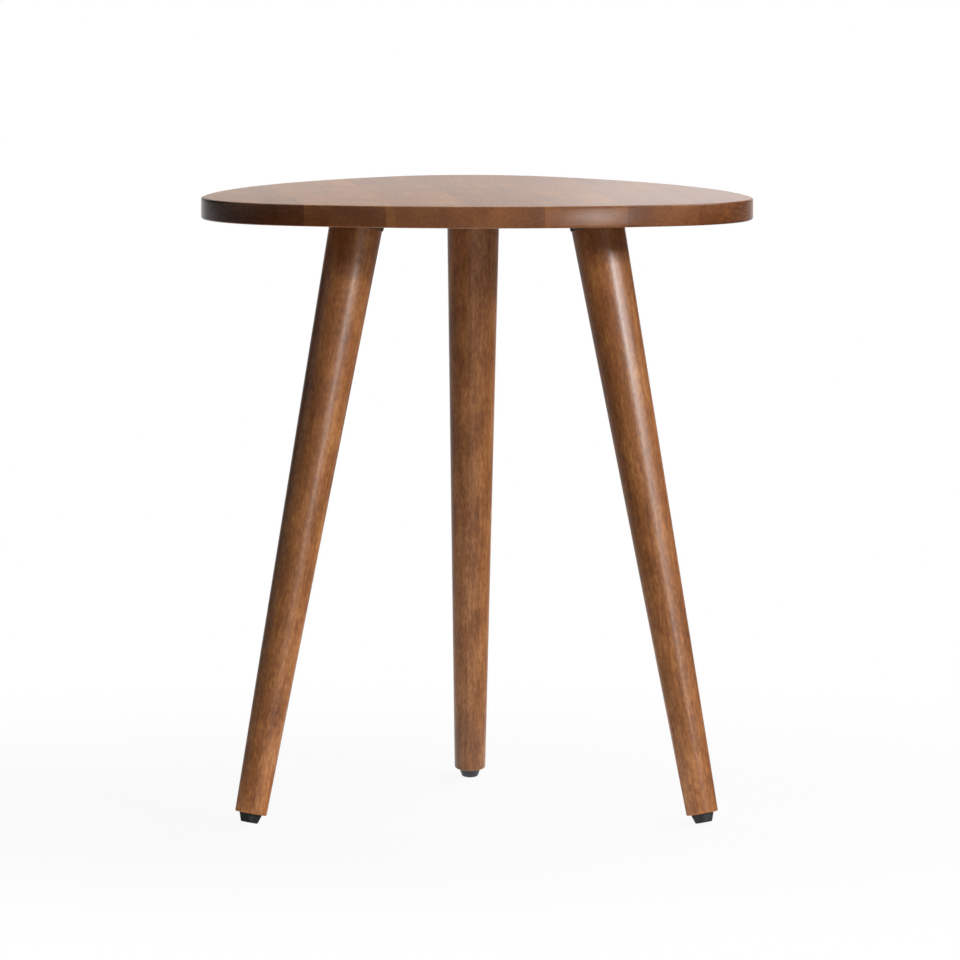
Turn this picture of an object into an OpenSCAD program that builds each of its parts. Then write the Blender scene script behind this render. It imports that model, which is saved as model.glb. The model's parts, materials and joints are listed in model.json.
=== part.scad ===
// Tripod side table: a rounded triangular top of glued staves on three splayed, screw-in legs.
// Millimetres, +Z up, +Y towards the back leg, origin on the floor under the middle of the outline.

/* [Table] */
// Height of the tabletop's upper face over the floor
table_h = 520; // [400:5:700]
// Lean of each leg from the vertical, in degrees
splay = 11.7; // [6:0.1:15]

/* [Tabletop] */
// Thickness of the tabletop
top_t = 18; // [16:1:30]
// Radius of the three rounded corners
corner_r = 106.5; // [80:0.5:130]
// Distance of each corner's centre from the middle of the tripod
corner_reach = 142; // [120:1:180]
// Radius of the three bowed sides
side_r = 422; // [380:1:800]
// Rounding of the upper and lower edges
edge_r = 2; // [0.5:0.5:5]
// Turn of the glue lines from the depth of the table, in degrees
grain_turn = 6; // [0:1:20]
// Glue line furthest to the left, measured across the grain from the middle of the tripod
first_seam = -162; // [-180:1:-140]
// Width of the second stave from the left
stave_2_w = 73; // [60:1:80]
// Width of the third stave
stave_3_w = 62; // [50:1:75]
// Width of the fourth stave
stave_4_w = 59; // [50:1:75]
// Width of the fifth stave
stave_5_w = 69.5; // [55:0.5:80]
// Width of the sixth stave
stave_6_w = 62; // [50:1:75]

/* [Legs] */
// Distance of each leg's axis from the middle of the tripod, at the underside of the top
leg_root = 114.8; // [90:0.1:140]
// Diameter of a leg at its upper end
leg_top_d = 44.5; // [38:0.5:52]
// Diameter of a leg at its lower end
leg_end_d = 26.5; // [22:0.5:34]
// Chamfer round the upper end of a leg
leg_top_chamfer = 0.8; // [0.3:0.1:2]
// Chamfer round the lower end of a leg
leg_end_chamfer = 1.2; // [0.3:0.1:2]

/* [Leg plates] */
// Width of a square leg plate
plate_w = 60; // [58:1:76]
// Thickness of the plate's sheet steel
plate_t = 1.5; // [1:0.1:2.5]
// Corner radius of a plate
plate_corner_r = 6; // [2:0.5:10]
// Step of the leg's upper end beyond the raised seat it stands on
seat_inset = 0.5; // [0.5:0.1:3]
// Least gap between a leg's upper edge and the flat of its plate
seat_lip = 0.5; // [0.3:0.1:2]

/* [Plate screws] */
// Distance from screw to screw along each side of a plate
screw_pitch = 44; // [42:1:46]
// Diameter of a screw's shank
screw_d = 4; // [3:0.5:5]
// Length of a screw from the face of its head to its tip
screw_len = 13; // [11:0.5:16]
// Diameter of a screw's countersunk head
screw_head_d = 7.8; // [6:0.1:9]
// Height of the head's cone
screw_head_h = 2.2; // [1.6:0.1:3]
// Length of the point
screw_tip = 3; // [1:0.5:5]

/* [Hanger bolts and nuts] */
// Thread diameter of a hanger bolt
bolt_d = 8; // [6:1:8]
// Length of a hanger bolt
bolt_len = 50; // [40:1:70]
// Length of the bolt that stands out of the leg
bolt_stand = 14.5; // [12:0.5:16]
// Length of the point at the bolt's lower end
bolt_tip = 6; // [3:1:10]
// Diameter of a clinch nut's barrel
nut_barrel_d = 11; // [10:0.5:12]
// Diameter of a clinch nut's flange
nut_flange_d = 18; // [14:0.5:20]
// Thickness of a clinch nut's flange
nut_flange_t = 1.5; // [1:0.1:2]
// Diameter of the nut's spigot, which passes through the plate
nut_spigot_d = 10; // [9:0.5:10]
// Height of the nut above the plate's seat
nut_h = 8.5; // [7:0.5:10]
// Diameter of the hole in the top that clears bolt and nut
relief_d = 13; // [12.5:0.5:16]
// Depth of that hole beyond the end of the bolt
relief_spare = 1.5; // [1:0.5:3]

/* [Feet] */
// Diameter of a foot where it meets the leg
foot_top_d = 19; // [16:0.5:24]
// Diameter of a foot at its lower end
foot_base_d = 14; // [12:0.5:16]
// Height of a foot
foot_h = 7.5; // [6:0.5:12]
// Chamfer round a foot's lower end
foot_chamfer = 0.6; // [0.3:0.1:1.5]
// Thread diameter of a foot's stem
stem_d = 6; // [5:1:6]
// Length of the stem above the foot
stem_len = 18; // [15:1:20]
// Diameter of the stem's head, moulded into the foot
stem_head_d = 10; // [8:0.5:10]
// Thickness of the stem's head
stem_head_t = 2.5; // [1.5:0.5:3]
// Height of the foot's material above the stem's head
stem_cover = 2.5; // [2:0.5:3]
// Diameter of the threaded insert in the leg's lower end
insert_d = 10; // [9:0.5:12]
// Length of the insert, its flange included
insert_len = 13; // [10:1:16]
// Diameter of the insert's flange
insert_flange_d = 14; // [13:0.5:16]
// Thickness of the insert's flange, which is let into the wood
insert_flange_t = 0.8; // [0.5:0.1:1.5]

/* [Fits] */
// Radial clearance of threads in their nuts, inserts and bores
run = 0.05; // [0.03:0.01:0.1]
// Gap between a leg's upper end and the seat it is screwed up to
seat_gap = 0.02; // [0.01:0.01:0.1]
// Gap between the end of a leg and its foot, screwed home
foot_gap = 0.1; // [0.05:0.05:0.5]
// Spare depth of a blind bore beyond what it holds
bore_spare = 2; // [1:0.5:4]

/* [Hidden] */
$fn = 96;
STAVES = 7;

// Directions of the three corners, a third of a turn apart, with a leg under each
THIRD = 360 / 3;
BACK = 90;
LEFT = BACK + THIRD;
RIGHT = LEFT + THIRD;
CORNERS = [BACK, LEFT, RIGHT];

// The sides' centres follow from arcs that meet the corners' arcs without a kink
half_chord = corner_reach * sin(THIRD / 2);
mid_chord = corner_reach * cos(THIRD / 2);
side_centre = sqrt(pow(side_r - corner_r, 2) - pow(half_chord, 2)) - mid_chord;
side_half = atan(half_chord / (side_centre + mid_chord));
corner_half = THIRD / 2 - side_half;

// Steps of the outline along each corner and each side, and of the rounding over each edge
corner_steps = 24;
side_steps = 24;
edge_steps = 3;
// Width by which a stave is sawn too wide on each side, before its glue faces are planed
saw_spare = 25;

// The outline reaches further to the back corner than to the front side
reach_back = corner_reach + corner_r;
reach_front = side_r - side_centre;
centre_y = (reach_front - reach_back) / 2;

underside = table_h - top_t;
slab = 4 * reach_back;

seams = [
    first_seam,
    first_seam + stave_2_w,
    first_seam + stave_2_w + stave_3_w,
    first_seam + stave_2_w + stave_3_w + stave_4_w,
    first_seam + stave_2_w + stave_3_w + stave_4_w + stave_5_w,
    first_seam + stave_2_w + stave_3_w + stave_4_w + stave_5_w + stave_6_w
];

// Heights along a leg's axis, counted downwards from the underside of the top
seat_s = (plate_t + seat_lip + leg_top_d / 2 * sin(splay)) / cos(splay);
base_s = (underside - (foot_base_d / 2 - foot_chamfer) * sin(splay)) / cos(splay);
foot_s = base_s - foot_h;
end_s = foot_s - foot_gap;
bolt_s = seat_s - bolt_stand;
nut_s = seat_s - plate_t;

// Puts its children on the tripod's middle, turned to a leg's direction, on the underside of the top
module under_top(direction) {
    translate([0, centre_y, underside])
        rotate([0, 0, direction])
            translate([leg_root, 0, 0])
                children();
}

// Puts its children on a leg's axis, with their own +Z running down the leg from the underside
module on_axis(direction) {
    under_top(direction)
        rotate([0, 180 - splay, 0])
            children();
}

// A disc along the axis, from one height to another
module disc(d, from, to) {
    translate([0, 0, from])
        cylinder(d = d, h = to - from);
}

// Points along an arc, without its last one
function arc(centre, r, from, to, steps) = [
    for (i = [0:steps - 1])
        let (a = from + (to - from) * i / steps)
            centre + r * [cos(a), sin(a)]
];

function towards(direction, distance) = distance * [cos(direction), sin(direction)];

// The outline drawn in from the rim: three corners and three bowed sides, which meet without a kink
function outline(inset) = [
    for (d = CORNERS)
        each concat(
            arc(
                towards(d, corner_reach), corner_r - inset,
                d - corner_half, d + corner_half, corner_steps
            ),
            arc(
                towards(d + 2 * THIRD, side_centre), side_r - inset,
                d + corner_half, d + THIRD - corner_half, side_steps
            )
        )
];

// Distance of a point from the middle of the tripod, measured across the grain
function across(point) = point * towards(grain_turn, 1);

// A sawn stave: the outline's points near it, with the rim rounded above and below
module sawn_stave(from, to) {
    hull()
        for (step = [0:edge_steps]) {
            a = 90 * step / edge_steps;
            depth = edge_r * (1 - sin(a));
            translate([0, 0, depth])
                linear_extrude(top_t - 2 * depth)
                    polygon([
                        for (point = outline(edge_r * (1 - cos(a))))
                            if (across(point) > from && across(point) < to) point
                    ]);
        }
}

// A stave between its two glue faces
module planed_stave(from, to) {
    translate([0, centre_y, underside])
        intersection() {
            sawn_stave(from - saw_spare, to + saw_spare);
            rotate([0, 0, grain_turn])
                translate([from, -slab / 2, -1])
                    cube([to - from, slab, top_t + 2]);
        }
}

// A stave of the top, counted from the left, with the holes for screws, nuts and bolts
module top_stave(number) {
    color([0.55, 0.34, 0.22])
        difference() {
            planed_stave(
                number == 1 ? -slab / 2 : seams[number - 2],
                number == STAVES ? slab / 2 : seams[number - 1]
            );
            for (direction = CORNERS) {
                on_axis(direction)
                    disc(relief_d, bolt_s - relief_spare, seat_s);
                screw_places(direction)
                    screw(run);
            }
        }
}

// The four screws' places on a plate
module screw_places(direction) {
    under_top(direction)
        for (x = [-screw_pitch / 2, screw_pitch / 2])
            for (y = [-screw_pitch / 2, screw_pitch / 2])
                translate([x, y, -plate_t])
                    children();
}

// A countersunk wood screw, point upwards, or with extra radius the hole that it makes
module screw(extra) {
    rotate_extrude()
        polygon([
            [0, -extra],
            [screw_head_d / 2 + 2 * extra, -extra],
            [screw_d / 2 + extra, screw_head_h],
            [screw_d / 2 + extra, screw_len - screw_tip + extra],
            [0, screw_len + extra]
        ]);
}

// The square outline of a plate, with round corners
module plate_outline() {
    inner = plate_w - 2 * plate_corner_r;
    square([plate_w, inner], center = true);
    square([inner, plate_w], center = true);
    for (x = [-inner / 2, inner / 2])
        for (y = [-inner / 2, inner / 2])
            translate([x, y])
                circle(plate_corner_r);
}

// A pressed steel plate: a flat flange for the screws, and a raised seat square to the leg
module leg_plate(direction) {
    seat_d = leg_top_d - 2 * seat_inset;
    color([0.18, 0.14, 0.12])
        difference() {
            union() {
                under_top(direction)
                    translate([0, 0, -plate_t])
                        linear_extrude(plate_t)
                            plate_outline();
                intersection() {
                    on_axis(direction)
                        disc(seat_d, -seat_d, seat_s);
                    under_top(direction)
                        translate([-plate_w / 2, -plate_w / 2, -plate_w])
                            cube(plate_w);
                }
            }
            on_axis(direction) {
                disc(seat_d - 2 * plate_t, -seat_d, nut_s);
                disc(nut_spigot_d + 2 * run, 0, seat_s + 1);
            }
            screw_places(direction)
                screw(run);
        }
}

// The four screws of one plate
module plate_screws(direction) {
    color([0.72, 0.72, 0.7])
        screw_places(direction)
            screw(0);
}

// A clinch nut: barrel, flange and spigot, with its thread as a plain bore
module plate_nut(direction) {
    color([0.7, 0.7, 0.72])
        on_axis(direction)
            difference() {
                union() {
                    disc(nut_barrel_d, seat_s - nut_h - plate_t, nut_s);
                    disc(nut_flange_d, nut_s - nut_flange_t, nut_s);
                    disc(nut_spigot_d, nut_s - nut_flange_t, seat_s - run);
                }
                disc(bolt_d + 2 * run, seat_s - nut_h - plate_t - 1, seat_s + 1);
            }
}

// A hanger bolt: machine thread above, wood thread with a point below
module hanger_bolt(direction) {
    bolt_end = bolt_s + bolt_len;
    edge = 1;
    color([0.75, 0.75, 0.77])
        on_axis(direction)
            rotate_extrude()
                polygon([
                    [0, bolt_s],
                    [bolt_d / 2 - edge, bolt_s],
                    [bolt_d / 2, bolt_s + edge],
                    [bolt_d / 2, bolt_end - bolt_tip],
                    [edge, bolt_end],
                    [0, bolt_end]
                ]);
}

// A turned leg, tapered from top to foot, bored for its bolt above and its insert below
module leg(direction) {
    top_r = leg_top_d / 2;
    end_r = leg_end_d / 2;
    top_s = seat_s + seat_gap;
    color([0.5, 0.3, 0.18])
        on_axis(direction)
            difference() {
                rotate_extrude()
                    polygon([
                        [0, top_s],
                        [top_r - leg_top_chamfer, top_s],
                        [top_r, top_s + leg_top_chamfer],
                        [end_r, end_s - leg_end_chamfer],
                        [end_r - leg_end_chamfer, end_s],
                        [0, end_s]
                    ]);
                disc(bolt_d + 2 * run, seat_s - 1, bolt_s + bolt_len + bore_spare);
                disc(insert_d + 2 * run, end_s - insert_len - run, end_s);
                disc(insert_flange_d + 2 * run, end_s - insert_flange_t, end_s + 1);
                disc(stem_d + 2 * run, foot_s - stem_len - bore_spare, end_s);
            }
}

// The threaded insert in a leg's lower end, with its flange let in flush with the wood
module foot_insert(direction) {
    color([0.75, 0.72, 0.6])
        on_axis(direction)
            difference() {
                union() {
                    disc(insert_d, end_s - insert_len, end_s);
                    disc(insert_flange_d, end_s - insert_flange_t, end_s);
                }
                disc(stem_d + 2 * run, end_s - insert_len - 1, end_s + 1);
            }
}

// A foot's threaded stem, with the head that the foot is moulded round, or the room it takes
module stem_shape(extra) {
    disc(stem_d + 2 * extra, foot_s - stem_len, foot_s + stem_cover + extra);
    disc(stem_head_d + 2 * extra, foot_s + stem_cover - extra, foot_s + stem_cover + stem_head_t + extra);
}

module foot_stem(direction) {
    color([0.75, 0.75, 0.77])
        on_axis(direction)
            stem_shape(0);
}

// A black moulded foot, narrower towards the floor
module foot_pad(direction) {
    base_r = foot_base_d / 2;
    color([0.06, 0.06, 0.06])
        on_axis(direction)
            difference() {
                rotate_extrude()
                    polygon([
                        [0, foot_s],
                        [foot_top_d / 2, foot_s],
                        [base_r, base_s - foot_chamfer],
                        [base_r - foot_chamfer, base_s],
                        [0, base_s]
                    ]);
                stem_shape(run);
            }
}

top_stave(1);  // top_stave_1
top_stave(2);  // top_stave_2
top_stave(3);  // top_stave_3
top_stave(4);  // top_stave_4
top_stave(5);  // top_stave_5
top_stave(6);  // top_stave_6
top_stave(7);  // top_stave_7
leg_plate(BACK);  // leg_plate_back
leg_plate(LEFT);  // leg_plate_left
leg_plate(RIGHT);  // leg_plate_right
plate_screws(BACK);  // plate_screws_back
plate_screws(LEFT);  // plate_screws_left
plate_screws(RIGHT);  // plate_screws_right
plate_nut(BACK);  // plate_nut_back
plate_nut(LEFT);  // plate_nut_left
plate_nut(RIGHT);  // plate_nut_right
hanger_bolt(BACK);  // hanger_bolt_back
hanger_bolt(LEFT);  // hanger_bolt_left
hanger_bolt(RIGHT);  // hanger_bolt_right
leg(BACK);  // leg_back
leg(LEFT);  // leg_left
leg(RIGHT);  // leg_right
foot_insert(BACK);  // foot_insert_back
foot_insert(LEFT);  // foot_insert_left
foot_insert(RIGHT);  // foot_insert_right
foot_stem(BACK);  // foot_stem_back
foot_stem(LEFT);  // foot_stem_left
foot_stem(RIGHT);  // foot_stem_right
foot_pad(BACK);  // foot_pad_back
foot_pad(LEFT);  // foot_pad_left
foot_pad(RIGHT);  // foot_pad_right
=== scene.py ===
import json
import math

import bmesh
import bpy
from mathutils import Matrix, Vector

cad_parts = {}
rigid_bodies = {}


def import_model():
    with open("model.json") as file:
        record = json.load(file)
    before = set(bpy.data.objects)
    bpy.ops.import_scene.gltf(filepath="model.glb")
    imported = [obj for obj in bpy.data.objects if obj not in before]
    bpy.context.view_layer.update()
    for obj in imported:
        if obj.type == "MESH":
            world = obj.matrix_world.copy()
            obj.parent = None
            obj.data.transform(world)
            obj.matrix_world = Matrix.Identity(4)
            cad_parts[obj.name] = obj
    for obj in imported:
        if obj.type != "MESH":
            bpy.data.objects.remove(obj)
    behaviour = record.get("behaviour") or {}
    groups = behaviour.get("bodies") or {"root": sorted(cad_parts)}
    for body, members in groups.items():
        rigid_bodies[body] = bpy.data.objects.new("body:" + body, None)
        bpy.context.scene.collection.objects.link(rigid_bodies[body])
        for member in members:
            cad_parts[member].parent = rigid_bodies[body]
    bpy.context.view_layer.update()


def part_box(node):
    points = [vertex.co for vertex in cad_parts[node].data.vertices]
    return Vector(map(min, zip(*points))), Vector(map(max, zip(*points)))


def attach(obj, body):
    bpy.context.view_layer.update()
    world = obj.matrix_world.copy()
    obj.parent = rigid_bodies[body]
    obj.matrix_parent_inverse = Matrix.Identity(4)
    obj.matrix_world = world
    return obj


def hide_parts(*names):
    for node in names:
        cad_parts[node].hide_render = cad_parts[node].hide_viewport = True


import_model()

# The tabletop: seven staves of solid wood, glued edge to edge, sawn to a rounded triangle and rounded over
# along the rim. The grain runs from front to back, a little off square, so the front of the rim is end
# grain. The wood is stained walnut brown and has a satin clear lacquer.
STAVES = range(1, 8)
TABLE_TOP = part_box("top_stave_4")[1].z
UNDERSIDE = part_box("top_stave_4")[0].z
CORNER_R = 0.1065
CORNER_REACH = 0.142
SIDE_R = 0.422
EDGE_R = 0.002
THIRD = math.radians(120)
DIRECTIONS = {"back": math.radians(90), "left": math.radians(210), "right": math.radians(330)}
MIDDLE_Y = max(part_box(f"top_stave_{i}")[1].y for i in STAVES) - CORNER_REACH - CORNER_R
GRAIN_TURN = math.radians(6)
# The glue lines' places across the grain. The first and the last lie outside the top.
SEAMS = [-0.26, -0.162, -0.089, -0.027, 0.032, 0.1015, 0.1635, 0.26]
ARC_STEPS = 56
EDGE_STEPS = 6
SHARP_FROM = 35
SAME_PLACE = 1e-6
ON_PLANE = 1e-8


def towards(angle, distance, z=0.0):
    """A point in that direction from the middle of the tripod."""
    return Vector((distance * math.cos(angle), MIDDLE_Y + distance * math.sin(angle), z))


def verts_of(geom):
    return [v for v in geom if isinstance(v, bmesh.types.BMVert)]


def edges_of(geom):
    return [e for e in geom if isinstance(e, bmesh.types.BMEdge)]


def round_off(shape, geom, by, steps, affect="EDGES"):
    """Rounds edges, or a flat shape's corners, to a radius."""
    bmesh.ops.bevel(
        shape,
        geom=geom,
        offset=by,
        offset_type="OFFSET",
        affect=affect,
        segments=steps,
        profile=0.5,
        material=-1,
    )


def cut_off(shape, place, inwards):
    """Cuts away what lies behind a plane that faces inwards, and closes the cut."""
    cut = bmesh.ops.bisect_plane(
        shape,
        geom=shape.verts[:] + shape.edges[:] + shape.faces[:],
        dist=ON_PLANE,
        plane_co=place,
        plane_no=inwards,
        clear_inner=True,
    )
    edges = edges_of(cut["geom_cut"])
    if edges:
        bmesh.ops.contextual_create(shape, geom=edges)


def sawn_board():
    """The whole top: corners and bowed sides that meet without a kink, made thick, with a rounded rim."""
    half_chord = CORNER_REACH * math.sin(THIRD / 2)
    mid_chord = CORNER_REACH * math.cos(THIRD / 2)
    side_centre = math.sqrt((SIDE_R - CORNER_R) ** 2 - half_chord**2) - mid_chord
    side_half = math.atan(half_chord / (side_centre + mid_chord))
    corner_half = THIRD / 2 - side_half
    board = bmesh.new()
    first = DIRECTIONS["back"]
    reach = CORNER_R * Vector((math.cos(first - corner_half), math.sin(first - corner_half), 0))
    pencil = [board.verts.new(towards(first, CORNER_REACH, UNDERSIDE) + reach)]
    for direction in DIRECTIONS.values():
        corner = (towards(direction, CORNER_REACH), 2 * corner_half)
        side = (towards(direction + 2 * THIRD, side_centre), 2 * side_half)
        for centre, angle in (corner, side):
            drawn = bmesh.ops.spin(
                board,
                geom=pencil,
                cent=centre,
                axis=(0, 0, 1),
                angle=angle,
                steps=ARC_STEPS,
                use_merge=False,
            )
            pencil = verts_of(drawn["geom_last"])
    bmesh.ops.remove_doubles(board, verts=board.verts, dist=SAME_PLACE)
    outline = bmesh.ops.contextual_create(board, geom=board.edges)["faces"]
    raised = bmesh.ops.extrude_face_region(board, geom=outline)["geom"]
    bmesh.ops.translate(board, verts=verts_of(raised), vec=(0, 0, TABLE_TOP - UNDERSIDE))
    bmesh.ops.recalc_face_normals(board, faces=board.faces)
    rims = [e for e in board.edges if abs(e.verts[0].co.z - e.verts[1].co.z) < SAME_PLACE]
    round_off(board, rims, EDGE_R, EDGE_STEPS)
    return board


def plane_off(board, place, keep):
    """Planes a glue face. keep is 1 where the stave lies right of it, and -1 where it lies left."""
    across = Vector((math.cos(GRAIN_TURN), math.sin(GRAIN_TURN), 0))
    cut_off(board, towards(GRAIN_TURN, place), keep * across)


def soften(mesh, sharp_from):
    """Shades a mesh smooth, but for the edges that turn by more than that many degrees."""
    mesh.shade_smooth()
    mesh.set_sharp_from_angle(angle=math.radians(sharp_from))


def piece(name, shape, sharp_from=SHARP_FROM):
    """Makes an object of a shape."""
    mesh = bpy.data.meshes.new(name)
    shape.to_mesh(mesh)
    shape.free()
    made = bpy.data.objects.new(name, mesh)
    bpy.context.scene.collection.objects.link(made)
    soften(mesh, sharp_from)
    return made


# The underside is bored for each leg: a relief for the end of the leg's bolt and its nut, square to the
# splayed leg, and four countersunk pilot holes for the screws of the leg's plate. Heights on a leg's axis
# run down it from the underside.
SPLAY = math.radians(11.7)
LEG_ROOT = 0.1148
PLATE_T = 0.0015
SEAT = 0.00665
RELIEF_R = 0.0065
RELIEF_TOP = -0.00935
SCREW_PITCH = 0.044
SCREW_R = 0.002
SCREW_LENGTH = 0.013
SCREW_TIP = 0.003
SCREW_HEAD_R = 0.0039
SCREW_HEAD_H = 0.0022
CLEARANCE = 0.00005


def under_top(direction):
    """Where a leg stands under the top, with +X outwards and +Z up."""
    return Matrix.Translation(towards(direction, LEG_ROOT, UNDERSIDE)) @ Matrix.Rotation(direction, 4, "Z")


def on_axis(direction):
    """A leg's axis, with +Z running down the leg from the top's underside."""
    return under_top(direction) @ Matrix.Rotation(math.pi - SPLAY, 4, "Y")


def screw_places(direction):
    """The four screws of a plate, each with +Z from its head to its point."""
    for x in (-SCREW_PITCH / 2, SCREW_PITCH / 2):
        for y in (-SCREW_PITCH / 2, SCREW_PITCH / 2):
            yield under_top(direction) @ Matrix.Translation((x, y, -PLATE_T))


def turned(profile, steps, closed=False):
    """A lathe shape: (radius, height) points joined and spun round the Z axis."""
    shape = bmesh.new()
    points = [shape.verts.new((radius, 0, height)) for radius, height in profile]
    lines = [shape.edges.new(pair) for pair in zip(points, points[1:])]
    if closed:
        lines.append(shape.edges.new((points[-1], points[0])))
    bmesh.ops.spin(
        shape,
        geom=points + lines,
        cent=(0, 0, 0),
        axis=(0, 0, 1),
        angle=2 * math.pi,
        steps=steps,
        use_merge=True,
    )
    bmesh.ops.remove_doubles(shape, verts=shape.verts, dist=SAME_PLACE)
    bmesh.ops.recalc_face_normals(shape, faces=shape.faces)
    return shape


def rounded(shape, radius, height, by, steps=4):
    """Rounds the circular edge of a lathe shape at that radius and height."""

    def on_circle(v):
        return abs(v.co.xy.length - radius) < SAME_PLACE and abs(v.co.z - height) < SAME_PLACE

    circle = [e for e in shape.edges if all(on_circle(v) for v in e.verts)]
    round_off(shape, circle, by, steps)
    return shape


def join(into, shape, matrix):
    """Adds a shape to another at a place."""
    mesh = bpy.data.meshes.new("joined")
    bmesh.ops.transform(shape, matrix=matrix, verts=shape.verts)
    shape.to_mesh(mesh)
    shape.free()
    into.from_mesh(mesh)
    bpy.data.meshes.remove(mesh)


def drill(made, holes, sharp_from=SHARP_FROM):
    """Cuts holes, given as closed shapes, out of a piece."""
    bit = piece("bit", holes)
    cut = made.modifiers.new("holes", "BOOLEAN")
    cut.object = bit
    cut.operation = "DIFFERENCE"
    cut.solver = "EXACT"
    graph = bpy.context.evaluated_depsgraph_get()
    solid = made.data
    made.data = bpy.data.meshes.new_from_object(made.evaluated_get(graph))
    made.modifiers.clear()
    bpy.data.meshes.remove(solid)
    bpy.data.objects.remove(bit)
    made.data.name = made.name
    soften(made.data, sharp_from)


def screw_hole():
    return turned(
        [
            (0, -CLEARANCE),
            (SCREW_HEAD_R + 2 * CLEARANCE, -CLEARANCE),
            (SCREW_R + CLEARANCE, SCREW_HEAD_H),
            (SCREW_R + CLEARANCE, SCREW_LENGTH - SCREW_TIP + CLEARANCE),
            (0, SCREW_LENGTH + CLEARANCE),
        ],
        steps=32,
    )


def screw_holes(holes, direction):
    """Adds the holes of a plate's four screws to what is to be drilled."""
    for place in screw_places(direction):
        join(holes, screw_hole(), place)


def holes_under_top():
    holes = bmesh.new()
    for direction in DIRECTIONS.values():
        relief = turned([(0, RELIEF_TOP), (RELIEF_R, RELIEF_TOP), (RELIEF_R, SEAT), (0, SEAT)], steps=48)
        join(holes, relief, on_axis(direction))
        screw_holes(holes, direction)
    return holes


# The top's finish: a walnut stain under a satin clear lacquer. The pattern is solid, in millimetres, with
# z along the grain of each stave or leg, so a face cut across the grain shows the ends of the fibres.
class Value:
    """A node's output in a material. Sums and products of values add their own Math nodes."""

    def __init__(self, finish, socket):
        self.finish = finish
        self.socket = socket

    def math(self, operation, *others):
        return self.finish.node("ShaderNodeMath", {"operation": operation}, dict(enumerate((self, *others))))

    def __add__(self, other):
        return self.math("ADD", other)

    def __sub__(self, other):
        return self.math("SUBTRACT", other)

    def __rsub__(self, other):
        return self.finish.node("ShaderNodeMath", {"operation": "SUBTRACT"}, {0: other, 1: self})

    def __mul__(self, other):
        return self.math("MULTIPLY", other)

    def __truediv__(self, other):
        return self.math("DIVIDE", other)

    __radd__ = __add__
    __rmul__ = __mul__

    def step(self, low, high):
        """0 below low, 1 above high, and smooth between."""
        return self.finish.node(
            "ShaderNodeMapRange",
            {"interpolation_type": "SMOOTHSTEP"},
            {"Value": self, "From Min": low, "From Max": high, "To Min": 0.0, "To Max": 1.0},
        )


class Finish:
    """The node tree of a material, or of the world, under construction."""

    def __init__(self, owner):
        self.owner = owner
        owner.use_nodes = True
        self.tree = owner.node_tree
        self.tree.nodes.clear()

    def node(self, kind, settings=None, sockets=None, output=0):
        """Adds a node, with its settings first and then its sockets' values or links. A ramp's settings are
        its stops and whether it eases from one to the next."""
        made = self.tree.nodes.new(kind)
        for key, value in (settings or {}).items():
            if key == "eased":
                made.color_ramp.interpolation = "EASE"
            elif key == "stops":
                stops = made.color_ramp.elements
                while len(stops) < len(value):
                    stops.new(1.0)
                for stop, (position, colour) in zip(stops, value):
                    stop.position = position
                    stop.color = colour
            else:
                setattr(made, key, value)
        for key, value in (sockets or {}).items():
            socket = made.inputs[key]
            if isinstance(value, Value):
                self.tree.links.new(value.socket, socket)
            else:
                socket.default_value = value
        return None if output is None else Value(self, made.outputs[output])

    def scaled(self, vector, by):
        return self.node("ShaderNodeVectorMath", {"operation": "MULTIPLY"}, {0: vector, 1: by})

    def shifted(self, vector, by):
        return self.node("ShaderNodeVectorMath", {"operation": "ADD"}, {0: vector, 1: by})

    def figured(self, vector, across, along):
        """The vector measured in marks of that width across the grain and that length along it."""
        return self.scaled(vector, (1 / across, 1 / across, 1 / along))

    def noise(self, vector, detail=2.0, roughness=0.5, distortion=0.0):
        """Noise with a grain of 1 about the value 0, seldom past 0.3 either way."""
        sockets = {
            "Vector": vector,
            "Scale": 1.0,
            "Detail": detail,
            "Roughness": roughness,
            "Distortion": distortion,
        }
        return self.node("ShaderNodeTexNoise", {}, sockets) - 0.5

    def done(self, **sockets):
        """Ends a material in its shader and gives the material."""
        named = {key.replace("_", " "): value for key, value in sockets.items()}
        shader = self.node("ShaderNodeBsdfPrincipled", {}, named)
        self.node("ShaderNodeOutputMaterial", {}, {"Surface": shader}, output=None)
        return self.owner


def paint(red, green, blue):
    """A colour as a screen shows it, from 0 to 255, in the shader's own measure."""
    return tuple(((c / 255 + 0.055) / 1.055) ** 2.4 for c in (red, green, blue)) + (1.0,)


# The stain, from its darkest shade, 0, to its palest, 1
STAIN = [
    (0.0, paint(60, 30, 13)),
    (0.25, paint(95, 53, 24)),
    (0.5, paint(133, 82, 42)),
    (0.75, paint(170, 115, 65)),
    (1.0, paint(204, 150, 92)),
]
MM = 1000
PLANKS_APART = (37.3, 71.9, 211.7)
RING_WIDTH = 4.6
RING_WAVER = 26
# The marks of the figure, each with its width across the grain and its length along it
WAVERS = (45, 260)
YEARS = (14, 400)
STAVE_CLOUDS = (45, 60)
LEG_CLOUDS = (20, 45)
STREAKS = (3.4, 45)
FLECKS = (2.1, 5.5)
FIBRES = (0.7, 7)
PORES = (1.15, 9)
BARS = (30, 7.5)
# How much each of them changes the shade
CLOUD_SHADE = 0.55
STAVE_STREAK_SHADE = 0.1
LEG_STREAK_SHADE = 0.32
FLECK_SHADE = 0.55
FIBRE_SHADE = 0.4
YEAR_SHADE = 0.12
LATE_WOOD_SHADE = 0.05
PORE_SHADE = 0.09
GLUE_SHADE = 0.06
SAPWOOD_SHADE = 0.18
END_GRAIN_LOSS = 0.55
GLUE_FROM = 0.4
GLUE_TO = 0.1
SAPWOOD_WAVER = 6
SATIN = 0.34
SMOOTHER_RIM = 0.08
WOOD_RELIEF = 0.00007
LACQUER_IOR = 1.5


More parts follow.
